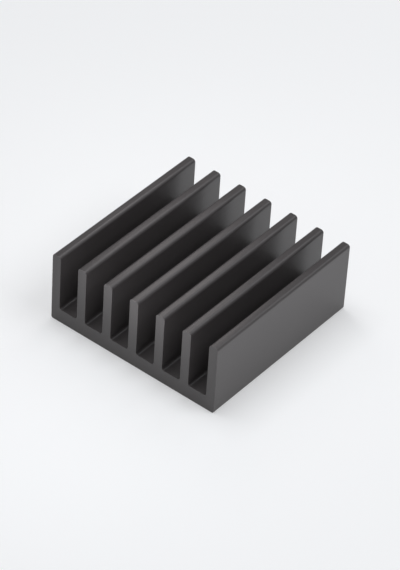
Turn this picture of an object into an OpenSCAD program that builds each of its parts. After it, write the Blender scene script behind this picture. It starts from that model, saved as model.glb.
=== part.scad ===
// Extruded heat sink: a flat base that carries a row of straight fins, sawn square to length.
// Sizes are in millimetres. The mounting face lies on Z = 0 and the fins run along Y.

/* [Overall] */
// Width across the fins, outer face to outer face
width = 25; // [18:0.1:60]
// Length along the fins, saw cut to saw cut
length = 25; // [8:0.1:120]
// Height from the mounting face to the fin tips
height = 10; // [5:0.1:30]

/* [Base] */
// Thickness of the base under the channels
base_thickness = 2; // [1.2:0.1:4]
// Radius along the two lower edges of the section
base_edge_radius = 0.3; // [0.05:0.05:1]

/* [Fins] */
// Number of fins
fin_count = 7; // [3:1:12]
// Thickness of one fin
fin_thickness = 1.26; // [0.8:0.02:2]
// Radius on the two corners of a fin tip
tip_radius = 0.4; // [0.05:0.05:0.6]
// Radius of the fillet between a fin and the channel floor
root_radius = 0.35; // [0.05:0.05:1]

/* [Hidden] */
$fn = 96;
anodised_black = [0.22, 0.22, 0.23];

fin_height = height - base_thickness;
fin_pitch = (width - fin_thickness) / (fin_count - 1);
first_fin_x = (fin_thickness - width) / 2;
channel_width = fin_pitch - fin_thickness;

// Each rounding stays within this share of the wall that carries it
rounding_share = 0.48;
tip_r = min(tip_radius, rounding_share * fin_thickness);
root_r = min(root_radius, rounding_share * channel_width, rounding_share * fin_height);
base_edge_r = min(base_edge_radius, rounding_share * base_thickness);

// Fins start this deep inside the base, and fillet webs this deep inside their fin and the base
fin_root_depth = base_thickness / 2;
web_root_depth = min(fin_thickness, base_thickness) / 3;

// A bar on the X axis, centred, with its two upper corners rounded
module round_topped_bar(bar_width, bar_height, corner_r) {
    flat_width = bar_width - 2 * corner_r;
    translate([-bar_width / 2, 0]) square([bar_width, bar_height - corner_r]);
    translate([-flat_width / 2, 0]) square([flat_width, bar_height]);
    for (side = [-1, 1])
        translate([side * flat_width / 2, bar_height - corner_r]) circle(corner_r);
}

// The web of metal that rounds an inside corner at the origin
module corner_web(web_r) {
    difference() {
        translate([-web_root_depth, -web_root_depth]) square(web_root_depth + web_r);
        translate([web_r, web_r]) circle(web_r);
    }
}

module base_section() {
    translate([0, base_thickness])
        mirror([0, 1])
            round_topped_bar(width, base_thickness, base_edge_r);
}

// The fillet at the root of a fin, on its right side
module root_fillet() {
    translate([fin_thickness / 2, 0]) corner_web(root_r);
}

// One fin that rises from the channel floor at Y = 0, with a fillet towards each channel beside it
module fin_section(left_channel, right_channel) {
    translate([0, -fin_root_depth])
        round_topped_bar(fin_thickness, fin_root_depth + fin_height, tip_r);
    if (left_channel) mirror([1, 0]) root_fillet();
    if (right_channel) root_fillet();
}

// The outline of the die, with X across the fins and Y up from the mounting face
module extruded_section() {
    base_section();
    translate([first_fin_x, base_thickness])
        for (i = [0 : fin_count - 1])
            translate([i * fin_pitch, 0])
                fin_section(left_channel = i > 0, right_channel = i < fin_count - 1);
}

module heat_sink() {
    color(anodised_black)
        rotate([90, 0, 0])
            linear_extrude(length, center = true)
                extruded_section();
}

heat_sink();
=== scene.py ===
from collections import namedtuple
import math

import bpy
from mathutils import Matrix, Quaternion, Vector


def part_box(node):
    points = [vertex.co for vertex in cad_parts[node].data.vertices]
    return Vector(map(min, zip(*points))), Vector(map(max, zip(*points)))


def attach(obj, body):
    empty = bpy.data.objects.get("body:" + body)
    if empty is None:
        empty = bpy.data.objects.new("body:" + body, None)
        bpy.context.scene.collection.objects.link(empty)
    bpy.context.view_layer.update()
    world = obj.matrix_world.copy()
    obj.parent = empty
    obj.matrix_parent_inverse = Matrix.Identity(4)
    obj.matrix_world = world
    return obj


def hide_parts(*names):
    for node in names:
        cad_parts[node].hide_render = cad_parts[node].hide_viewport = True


# A small extruded heat sink in black anodised aluminium, on a white floor under soft light.
# Lengths are in metres, and the small ones are written in millimetres, times MM.

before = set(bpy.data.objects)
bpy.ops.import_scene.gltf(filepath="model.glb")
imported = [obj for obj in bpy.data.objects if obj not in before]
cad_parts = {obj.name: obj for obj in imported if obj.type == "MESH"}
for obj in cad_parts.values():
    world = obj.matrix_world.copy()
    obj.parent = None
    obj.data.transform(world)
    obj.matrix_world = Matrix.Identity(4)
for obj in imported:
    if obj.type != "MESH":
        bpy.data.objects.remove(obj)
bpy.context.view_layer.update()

MM = 0.001

# Section of the extrusion, which takes its width, length and height from the solid
FIN_COUNT = 7
FIN_THICKNESS = 1.26 * MM
BASE_THICKNESS = 2.0 * MM
TIP_RADIUS = 0.4 * MM
ROOT_RADIUS = 0.35 * MM
BASE_EDGE_RADIUS = 0.3 * MM
ARC_STEPS = 10
WELD_DISTANCE = 0.001 * MM

# The corners of a fin, numbered in turn: left root, left tip, right tip, right root
CORNERS_PER_FIN = 4
LEFT_TIP = 1
RIGHT_TIP = 2

HALF = 0.5
QUARTER_TURN = math.radians(90)

# A face belongs to an end where more than this share of its normal lies along the length
END_FACING = 0.5

# The small round that etching leaves on the sawn edges. A face is part of it where the share of
# its normal along the length lies between these two. It takes the first material slot.
SAWN_EDGE_BREAK = 0.05 * MM
SAWN_EDGE_STEPS = 2
SAWN_EDGE_ANGLE = math.radians(60)
SAWN_EDGE_FACING = (0.1, 0.98)
SAWN_EDGE_SLOT = 0
FLAT_FACE_WEIGHT = 50

# Black anodise: a satin oxide over etched metal
BLACK_TONES = [(0.0585, 0.053, 0.0526, 1.0), (0.0745, 0.0675, 0.0671, 1.0)]
ANODISE_IOR = 1.48
ANODISE_ROUGHNESS = (0.28, 0.32)
CLOUD_SCALE = 180.0
CLOUD_DETAIL = 3.0

# Lines that the die draws along the length: stretched first, so the noise keeps its own scale
DIE_LINES_ACROSS = 5200.0
DIE_LINES_ALONG = 25.0
DIE_LINE_SCALE = 1.0
DIE_LINE_DETAIL = 4.0
DIE_LINE_DEPTH = 0.012 * MM

# Arcs that the saw leaves across the ends
SAW_CENTRE = (70 * MM, 0.0, -45 * MM)
SAW_ARC_SCALE = 3600.0
SAW_ARC_DETAIL = 3.0
SAW_ARC_DEPTH = 0.012 * MM

# Rubbed patches on the sawn edges, where the black is thin. Both tones sit above the black's tones,
# so they also paint a highlight along the whole edge break.
RUBBED_AND_HIGHLIGHT_TONES = [(0.06, 0.054, 0.054, 1.0), (0.12, 0.111, 0.109, 1.0)]
RUB_SCALE = 900.0
RUB_DETAIL = 2.0
RUB_DEPTH = 0.001 * MM

# Fine matt etch under the oxide
ETCH_SCALE = 16000.0
ETCH_DEPTH = 0.0008 * MM

# Floor and room
FLOOR_HALF_SIDE = 3.0
FLOOR_WHITE = (0.97, 0.97, 0.97, 1.0)
FLOOR_GLOW_WHITE = (1.0, 1.0, 1.0, 1.0)
FLOOR_GLOW_SHARE = 0.3
ROOM_WHITE = (0.95, 0.97, 1.0, 1.0)
ROOM_LEVEL = 0.12

# Softboxes: each hangs some way off the point it is aimed at, so high and so far round from the
# front towards the right, in degrees. The level is the brightness of its face, where 1 is white.
Softbox = namedtuple("Softbox", "aim distance elevation azimuth side level white")
PIECE_MIDDLE = Vector((0.0, 0.0, 5 * MM))
FIN_TOPS = Vector((2.5 * MM, -8.5 * MM, 10 * MM))
COOL_WHITE = (0.95, 0.97, 1.0)
WARM_WHITE = (1.0, 0.945, 0.94)
SOFTBOXES = {
    "key softbox": Softbox(PIECE_MIDDLE, 350 * MM, 55, 108, 200 * MM, 3.35, COOL_WHITE),
    "overhead softbox": Softbox(PIECE_MIDDLE, 350 * MM, 75, 270, 200 * MM, 4.4, COOL_WHITE),
    "front fill": Softbox(PIECE_MIDDLE, 50 * MM, 35, 0, 25 * MM, 0.84, COOL_WHITE),
    "sheen on the tips": Softbox(FIN_TOPS, 45 * MM, 41, 217, 16 * MM, 2.25, WARM_WHITE),
    "fill by the camera": Softbox(PIECE_MIDDLE, 350 * MM, 41, 37, 200 * MM, 0.4, COOL_WHITE),
    "back softbox": Softbox(PIECE_MIDDLE, 350 * MM, 48, 168, 200 * MM, 1.15, COOL_WHITE),
}

# Gridded strips: narrow level beams close to the piece, just above its fin tips. They light the
# piece alone and don't show in its gloss. The level is that of the face without its grid.
GriddedStrip = namedtuple("GriddedStrip", "aim distance azimuth across upright spread level white")
ABOVE_THE_FRONT = Vector((1 * MM, -12.5 * MM, 11 * MM))
ABOVE_THE_RIGHT = Vector((12.5 * MM, -4 * MM, 11 * MM))
BEAM_ELEVATION = 0.0
STRIPS = {
    "strip on the fin fronts": GriddedStrip(
        ABOVE_THE_FRONT, 10 * MM, 0, 17 * MM, 6 * MM, 80, 1.45, COOL_WHITE
    ),
    "strip on the right side": GriddedStrip(
        ABOVE_THE_RIGHT, 14 * MM, 90, 30 * MM, 5 * MM, 70, 0.37, COOL_WHITE
    ),
}

# Camera: the point it looks at, from which side and how far off, and its lens
VIEW_AZIMUTH = math.radians(36.775)
VIEW_ELEVATION = math.radians(41.008)
VIEW_ROLL = math.radians(3.763)
VIEW_TARGET = Vector((0.37 * MM, -0.486 * MM, 4.921 * MM))
VIEW_DISTANCE = 379.5 * MM
LENS_MM = 201.54
SENSOR_MM = 36.0
LENS_AXIS = (0.0, 0.0, 1.0)
NEAREST_SEEN = 0.01
FARTHEST_SEEN = 20.0


class Bench:
    """Adds nodes to one tree and joins up the sockets they are given."""

    def __init__(self, tree):
        self.tree = tree

    def feed(self, socket, value):
        if isinstance(value, bpy.types.NodeSocket):
            self.tree.links.new(value, socket)
        else:
            socket.default_value = value

    def add(self, kind, inputs=None, **settings):
        node = self.tree.nodes.new(kind)
        for name, value in settings.items():
            setattr(node, name, value)
        for key, value in (inputs or {}).items():
            self.feed(node.inputs[key], value)
        return node

    def math(self, operation, *values):
        node = self.add("ShaderNodeMath", dict(enumerate(values)), operation=operation)
        return node.outputs["Value"]

    def same(self, number, other):
        """One where two whole numbers are the same, otherwise nought."""
        return self.math("COMPARE", number, other, HALF)

    def pick(self, switch, when_false, when_true):
        inputs = {"Switch": switch, "False": when_false, "True": when_true}
        node = self.add("GeometryNodeSwitch", inputs, input_type="FLOAT")
        return node.outputs["Output"]


# Inputs of the extrusion's tree, with their kind of socket
EXTRUSION_INPUTS = {
    "Fin count": "NodeSocketInt",
    "Width": "NodeSocketFloat",
    "Length": "NodeSocketFloat",
    "Height": "NodeSocketFloat",
    "Base thickness": "NodeSocketFloat",
    "Fin thickness": "NodeSocketFloat",
    "Tip radius": "NodeSocketFloat",
    "Root radius": "NodeSocketFloat",
    "Base edge radius": "NodeSocketFloat",
    "Arc steps": "NodeSocketInt",
    "Wall finish": "NodeSocketMaterial",
    "Sawn finish": "NodeSocketMaterial",
}


def die_outline(bench, size):
    """The section's closed outline in the XY plane with sharp corners, and each corner's radius."""
    corner_count = bench.math("MULTIPLY", size["Fin count"], CORNERS_PER_FIN)
    last_corner = bench.math("SUBTRACT", corner_count, 1)
    gap_count = bench.math("SUBTRACT", size["Fin count"], 1)
    pitch_run = bench.math("SUBTRACT", size["Width"], size["Fin thickness"])
    pitch = bench.math("DIVIDE", pitch_run, gap_count)
    half_width = bench.math("MULTIPLY", size["Width"], HALF)

    # Which fin a corner is on and which of its corners it is
    corner = bench.add("GeometryNodeInputIndex").outputs["Index"]
    fin = bench.math("FLOOR", bench.math("DIVIDE", corner, CORNERS_PER_FIN))
    turn = bench.math("MODULO", corner, CORNERS_PER_FIN)
    on_right = bench.math("GREATER_THAN", turn, LEFT_TIP + HALF)
    at_tip = bench.math("ADD", bench.same(turn, LEFT_TIP), bench.same(turn, RIGHT_TIP))
    # The first and the last corner are the two lower edges of the base
    at_foot = bench.math("ADD", bench.same(corner, 0), bench.same(corner, last_corner))

    fin_left = bench.math("SUBTRACT", bench.math("MULTIPLY", fin, pitch), half_width)
    across = bench.math("ADD", fin_left, bench.math("MULTIPLY", on_right, size["Fin thickness"]))
    root_level = bench.pick(at_foot, size["Base thickness"], 0.0)
    up = bench.pick(at_tip, root_level, size["Height"])
    root_radius = bench.pick(at_foot, size["Root radius"], size["Base edge radius"])
    radius = bench.pick(at_tip, root_radius, size["Tip radius"])

    line = bench.add("GeometryNodeCurvePrimitiveLine")
    chain = bench.add(
        "GeometryNodeResampleCurve",
        {"Curve": line.outputs["Curve"], "Count": corner_count},
    )
    place = bench.add("ShaderNodeCombineXYZ", {"X": across, "Y": up})
    placed = bench.add(
        "GeometryNodeSetPosition",
        {"Geometry": chain.outputs["Curve"], "Position": place.outputs["Vector"]},
    )
    closed = bench.add(
        "GeometryNodeSetSplineCyclic",
        {"Geometry": placed.outputs["Geometry"], "Cyclic": True},
    )
    return closed.outputs["Geometry"], radius


def finned_extrusion_tree():
    """Draws the die's outline, rounds its corners and draws it out along Y."""
    tree = bpy.data.node_groups.new("finned extrusion", "GeometryNodeTree")
    identifiers = {}
    for name, kind in EXTRUSION_INPUTS.items():
        socket = tree.interface.new_socket(name, in_out="INPUT", socket_type=kind)
        identifiers[name] = socket.identifier
    tree.interface.new_socket("Extrusion", in_out="OUTPUT", socket_type="NodeSocketGeometry")
    bench = Bench(tree)
    size = bench.add("NodeGroupInput").outputs

    outline, radius = die_outline(bench, size)
    rounded = bench.add(
        "GeometryNodeFilletCurve",
        {"Curve": outline, "Radius": radius, "Count": size["Arc steps"]},
        mode="POLY",
    )
    section = bench.add("GeometryNodeFillCurve", {"Curve": rounded.outputs["Curve"]}, mode="NGONS")
    run = bench.add("ShaderNodeCombineXYZ", {"Z": size["Length"]})
    drawn = bench.add(
        "GeometryNodeExtrudeMesh",
        {"Mesh": section.outputs["Mesh"], "Offset": run.outputs["Vector"], "Individual": False},
    )
    far_end = bench.add("GeometryNodeFlipFaces", {"Mesh": section.outputs["Mesh"]})
    shell = bench.add("GeometryNodeJoinGeometry")
    bench.feed(shell.inputs["Geometry"], drawn.outputs["Mesh"])
    bench.feed(shell.inputs["Geometry"], far_end.outputs["Mesh"])
    welded = bench.add(
        "GeometryNodeMergeByDistance",
        {"Geometry": shell.outputs["Geometry"], "Distance": WELD_DISTANCE},
    )
    half_length = bench.math("MULTIPLY", size["Length"], HALF)
    centring = bench.add("ShaderNodeCombineXYZ", {"Y": half_length})
    laid_down = bench.add(
        "GeometryNodeTransform",
        {
            "Geometry": welded.outputs["Geometry"],
            "Translation": centring.outputs["Vector"],
            "Rotation": (QUARTER_TURN, 0.0, 0.0),
        },
    )
    smooth = bench.add("GeometryNodeSetShadeSmooth", {"Geometry": laid_down.outputs["Geometry"]})
    real = bench.add("GeometryNodeRealizeInstances", {"Geometry": smooth.outputs["Geometry"]})
    walls = bench.add(
        "GeometryNodeSetMaterial",
        {"Geometry": real.outputs["Geometry"], "Material": size["Wall finish"]},
    )
    normal = bench.add("GeometryNodeInputNormal").outputs["Normal"]
    facing = bench.add("ShaderNodeSeparateXYZ", {"Vector": normal})
    along_length = bench.math("ABSOLUTE", facing.outputs["Y"])
    is_end = bench.math("GREATER_THAN", along_length, END_FACING)
    ends = bench.add(
        "GeometryNodeSetMaterial",
        {
            "Geometry": walls.outputs["Geometry"],
            "Selection": is_end,
            "Material": size["Sawn finish"],
        },
    )
    out = bench.add("NodeGroupOutput")
    bench.feed(out.inputs["Extrusion"], ends.outputs["Geometry"])
    return tree, identifiers


def new_material(name):
    """An empty node material with its output, on a bench."""
    material = bpy.data.materials.new(name)
    material.use_nodes = True
    material.node_tree.nodes.clear()
    bench = Bench(material.node_tree)
    output = bench.add("ShaderNodeOutputMaterial")
    return material, bench, output


def patchiness(bench, place, scale, detail):
    """Soft patches over the whole surface, from nought to one."""
    noise = bench.add("ShaderNodeTexNoise", {"Vector": place, "Scale": scale, "Detail": detail})
    return noise.outputs["Fac"]


def anodise(bench, output, place, patches, tones, relief, relief_depth):
    """The black oxide: dark and light in patches, over the relief that the tool left."""
    tone = bench.add("ShaderNodeValToRGB", {"Fac": patches})
    for stop, colour in zip(tone.color_ramp.elements, tones):
        stop.color = colour
    gloss = bench.add(
        "ShaderNodeMapRange",
        {"Value": patches, "To Min": ANODISE_ROUGHNESS[0], "To Max": ANODISE_ROUGHNESS[1]},
    )
    etch = bench.add("ShaderNodeTexNoise", {"Vector": place, "Scale": ETCH_SCALE}).outputs["Fac"]
    etched = bench.add("ShaderNodeBump", {"Height": etch, "Distance": ETCH_DEPTH})
    worked = bench.add(
        "ShaderNodeBump",
        {"Height": relief, "Distance": relief_depth, "Normal": etched.outputs["Normal"]},
    )
    skin = bench.add(
        "ShaderNodeBsdfPrincipled",
        {
            "Base Color": tone.outputs["Color"],
            "Roughness": gloss.outputs["Result"],
            "IOR": ANODISE_IOR,
            "Normal": worked.outputs["Normal"],
        },
    )
    bench.feed(output.inputs["Surface"], skin.outputs["BSDF"])


def black_anodised_walls():
    """Finish of every face that the die made: faint straight lines along the length."""
    material, bench, output = new_material("black anodised walls")
    place = bench.add("ShaderNodeTexCoord").outputs["Object"]
    stretched = bench.add(
        "ShaderNodeMapping",
        {"Vector": place, "Scale": (DIE_LINES_ACROSS, DIE_LINES_ALONG, DIE_LINES_ACROSS)},
    )
    lines = bench.add(
        "ShaderNodeTexNoise",
        {
            "Vector": stretched.outputs["Vector"],
            "Scale": DIE_LINE_SCALE,
            "Detail": DIE_LINE_DETAIL,
        },
    )
    clouds = patchiness(bench, place, CLOUD_SCALE, CLOUD_DETAIL)
    anodise(bench, output, place, clouds, BLACK_TONES, lines.outputs["Fac"], DIE_LINE_DEPTH)
    return material


def black_anodised_saw_cut():
    """Finish of the two ends: faint wide arcs from the saw blade."""
    material, bench, output = new_material("black anodised saw cut")
    place = bench.add("ShaderNodeTexCoord").outputs["Object"]
    reach = bench.add("ShaderNodeVectorMath", {0: place, 1: SAW_CENTRE}, operation="DISTANCE")
    arcs = bench.add(
        "ShaderNodeTexNoise",
        {"W": reach.outputs["Value"], "Scale": SAW_ARC_SCALE, "Detail": SAW_ARC_DETAIL},
        noise_dimensions="1D",
    )
    clouds = patchiness(bench, place, CLOUD_SCALE, CLOUD_DETAIL)
    anodise(bench, output, place, clouds, BLACK_TONES, arcs.outputs["Fac"], SAW_ARC_DEPTH)
    return material


def rubbed_and_highlight_sawn_edges():
    """Finish of the broken edges round both ends: rubbed lighter where handling has thinned the
    black, with a painted highlight that lifts the whole edge break.
    """
    material, bench, output = new_material("rubbed sawn edges with painted highlight")
    place = bench.add("ShaderNodeTexCoord").outputs["Object"]
    rubs = patchiness(bench, place, RUB_SCALE, RUB_DETAIL)
    # These lighter tones paint a highlight on the edge break, besides the rubbed wear
    anodise(bench, output, place, rubs, RUBBED_AND_HIGHLIGHT_TONES, rubs, RUB_DEPTH)
    return material


def make_heat_sink():
    """The extrusion in its finish, on the place of the solid."""
    low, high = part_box("heat_sink")
    width, length, height = high - low
    sizes = {
        "Fin count": FIN_COUNT,
        "Width": width,
        "Length": length,
        "Height": height,
        "Base thickness": BASE_THICKNESS,
        "Fin thickness": FIN_THICKNESS,
        "Tip radius": TIP_RADIUS,
        "Root radius": ROOT_RADIUS,
        "Base edge radius": BASE_EDGE_RADIUS,
        "Arc steps": ARC_STEPS,
        "Wall finish": black_anodised_walls(),
        "Sawn finish": black_anodised_saw_cut(),
    }
    tree, identifiers = finned_extrusion_tree()
    piece = bpy.data.objects.new("finned_extrusion", bpy.data.meshes.new("blank stock"))
    bpy.context.scene.collection.objects.link(piece)
    drawing = piece.modifiers.new("finned extrusion", "NODES")
    drawing.node_group = tree
    for name, value in sizes.items():
        drawing[identifiers[name]] = value

    edge_break = piece.modifiers.new("sawn edge break", "BEVEL")
    edge_break.width = SAWN_EDGE_BREAK
    edge_break.segments = SAWN_EDGE_STEPS
    edge_break.limit_method = "ANGLE"
    edge_break.angle_limit = SAWN_EDGE_ANGLE
    edge_break.use_clamp_overlap = False
    flat_shading = piece.modifiers.new("flat faces", "WEIGHTED_NORMAL")
    flat_shading.weight = FLAT_FACE_WEIGHT

    depsgraph = bpy.context.evaluated_depsgraph_get()
    evaluated = piece.evaluated_get(depsgraph)
    finished = bpy.data.meshes.new_from_object(evaluated, depsgraph=depsgraph)
    finished.name = "finned extrusion"
    # The tree leaves the first slot empty, and the broken edges take it
    finished.materials[SAWN_EDGE_SLOT] = rubbed_and_highlight_sawn_edges()
    least, most = SAWN_EDGE_FACING
    for face in finished.polygons:
        if least < abs(face.normal.y) < most:
            face.material_index = SAWN_EDGE_SLOT
    piece.modifiers.clear()
    piece.data = finished

    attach(piece, "root")
    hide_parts("heat_sink")
    return piece


def lay_floor():
    """A wide white floor, which shows its own white and keeps a soft shadow."""
    material, bench, output = new_material("white floor")
    matt = bench.add("ShaderNodeBsdfDiffuse", {"Color": FLOOR_WHITE})
    glow = bench.add("ShaderNodeEmission", {"Color": FLOOR_GLOW_WHITE})
    ray = bench.add("ShaderNodeLightPath").outputs
    seen = bench.math("ADD", ray["Is Camera Ray"], ray["Is Glossy Ray"])
    seen = bench.math("ADD", seen, ray["Is Transmission Ray"])
    share = bench.math("MULTIPLY", seen, FLOOR_GLOW_SHARE)
    mixed = bench.add(
        "ShaderNodeMixShader",
        {0: share, 1: matt.outputs["BSDF"], 2: glow.outputs["Emission"]},
    )
    bench.feed(output.inputs["Surface"], mixed.outputs["Shader"])

    side = FLOOR_HALF_SIDE
    corners = [(-side, -side, 0.0), (side, -side, 0.0), (side, side, 0.0), (-side, side, 0.0)]
    mesh = bpy.data.meshes.new("floor")
    mesh.from_pydata(corners, [], [(0, 1, 2, 3)])
    mesh.materials.append(material)
    floor = bpy.data.objects.new("floor", mesh)
    bpy.context.scene.collection.objects.link(floor)


def light_room():
    """Even pale light from all round."""
    world = bpy.data.worlds.new("pale room")
    world.use_nodes = True
    world.node_tree.nodes.clear()
    bench = Bench(world.node_tree)
    sky = bench.add("ShaderNodeBackground", {"Color": ROOM_WHITE, "Strength": ROOM_LEVEL})
    out = bench.add("ShaderNodeOutputWorld")
    bench.feed(out.inputs["Surface"], sky.outputs["Background"])
    bpy.context.scene.world = world


def direction(elevation, azimuth):
    """The way out from the piece, so high and so far round from the front towards the right."""
    outward = math.cos(elevation)
    return Vector((math.sin(azimuth) * outward, -math.cos(azimuth) * outward, math.sin(elevation)))


def hang_lamp(name, aim, way_out, distance, across, upright, level, white):
    """A soft light with an even face, which the camera itself doesn't see."""
    light = bpy.data.lights.new(name, "AREA")
    light.shape = "RECTANGLE"
    light.size = across
    light.size_y = upright
    light.color = white
    # An even face gives off pi times its brightness over its area
    light.energy = level * math.pi * across * upright
    lamp = bpy.data.objects.new(name, light)
    lamp.location = aim + way_out * distance
    lamp.rotation_mode = "QUATERNION"
    lamp.rotation_quaternion = (-way_out).to_track_quat("-Z", "Y")
    lamp.visible_camera = False
    bpy.context.scene.collection.objects.link(lamp)
    return lamp


def hang_softbox(name, box):
    """A square soft light some way off."""
    way_out = direction(math.radians(box.elevation), math.radians(box.azimuth))
    hang_lamp(name, box.aim, way_out, box.distance, box.side, box.side, box.level, box.white)


def hang_strip(name, strip, piece):
    """A low strip with a grid, which lights the piece alone."""
    way_out = direction(BEAM_ELEVATION, math.radians(strip.azimuth))
    lamp = hang_lamp(
        name,
        strip.aim,
        way_out,
        strip.distance,
        strip.across,
        strip.upright,
        strip.level,
        strip.white,
    )
    lamp.data.spread = math.radians(strip.spread)
    lamp.visible_glossy = False
    lit = bpy.data.collections.new(name)
    lit.objects.link(piece)
    lamp.light_linking.receiver_collection = lit


def aim_camera():
    """A long lens that looks down over the front right corner."""
    optics = bpy.data.cameras.new("camera")
    optics.sensor_width = SENSOR_MM
    optics.lens = LENS_MM
    optics.clip_start = NEAREST_SEEN
    optics.clip_end = FARTHEST_SEEN
    way_out = direction(VIEW_ELEVATION, VIEW_AZIMUTH)
    camera = bpy.data.objects.new("camera", optics)
    camera.location = VIEW_TARGET + way_out * VIEW_DISTANCE
    camera.rotation_mode = "QUATERNION"
    roll = Quaternion(LENS_AXIS, VIEW_ROLL)
    camera.rotation_quaternion = (-way_out).to_track_quat("-Z", "Y") @ roll
    bpy.context.scene.collection.objects.link(camera)
    bpy.context.scene.camera = camera


aim_camera()
heat_sink = make_heat_sink()
lay_floor()
light_room()
for name, box in SOFTBOXES.items():
    hang_softbox(name, box)
for name, strip in STRIPS.items():
    hang_strip(name, strip, heat_sink)
bpy.context.scene.view_settings.view_transform = "Standard"
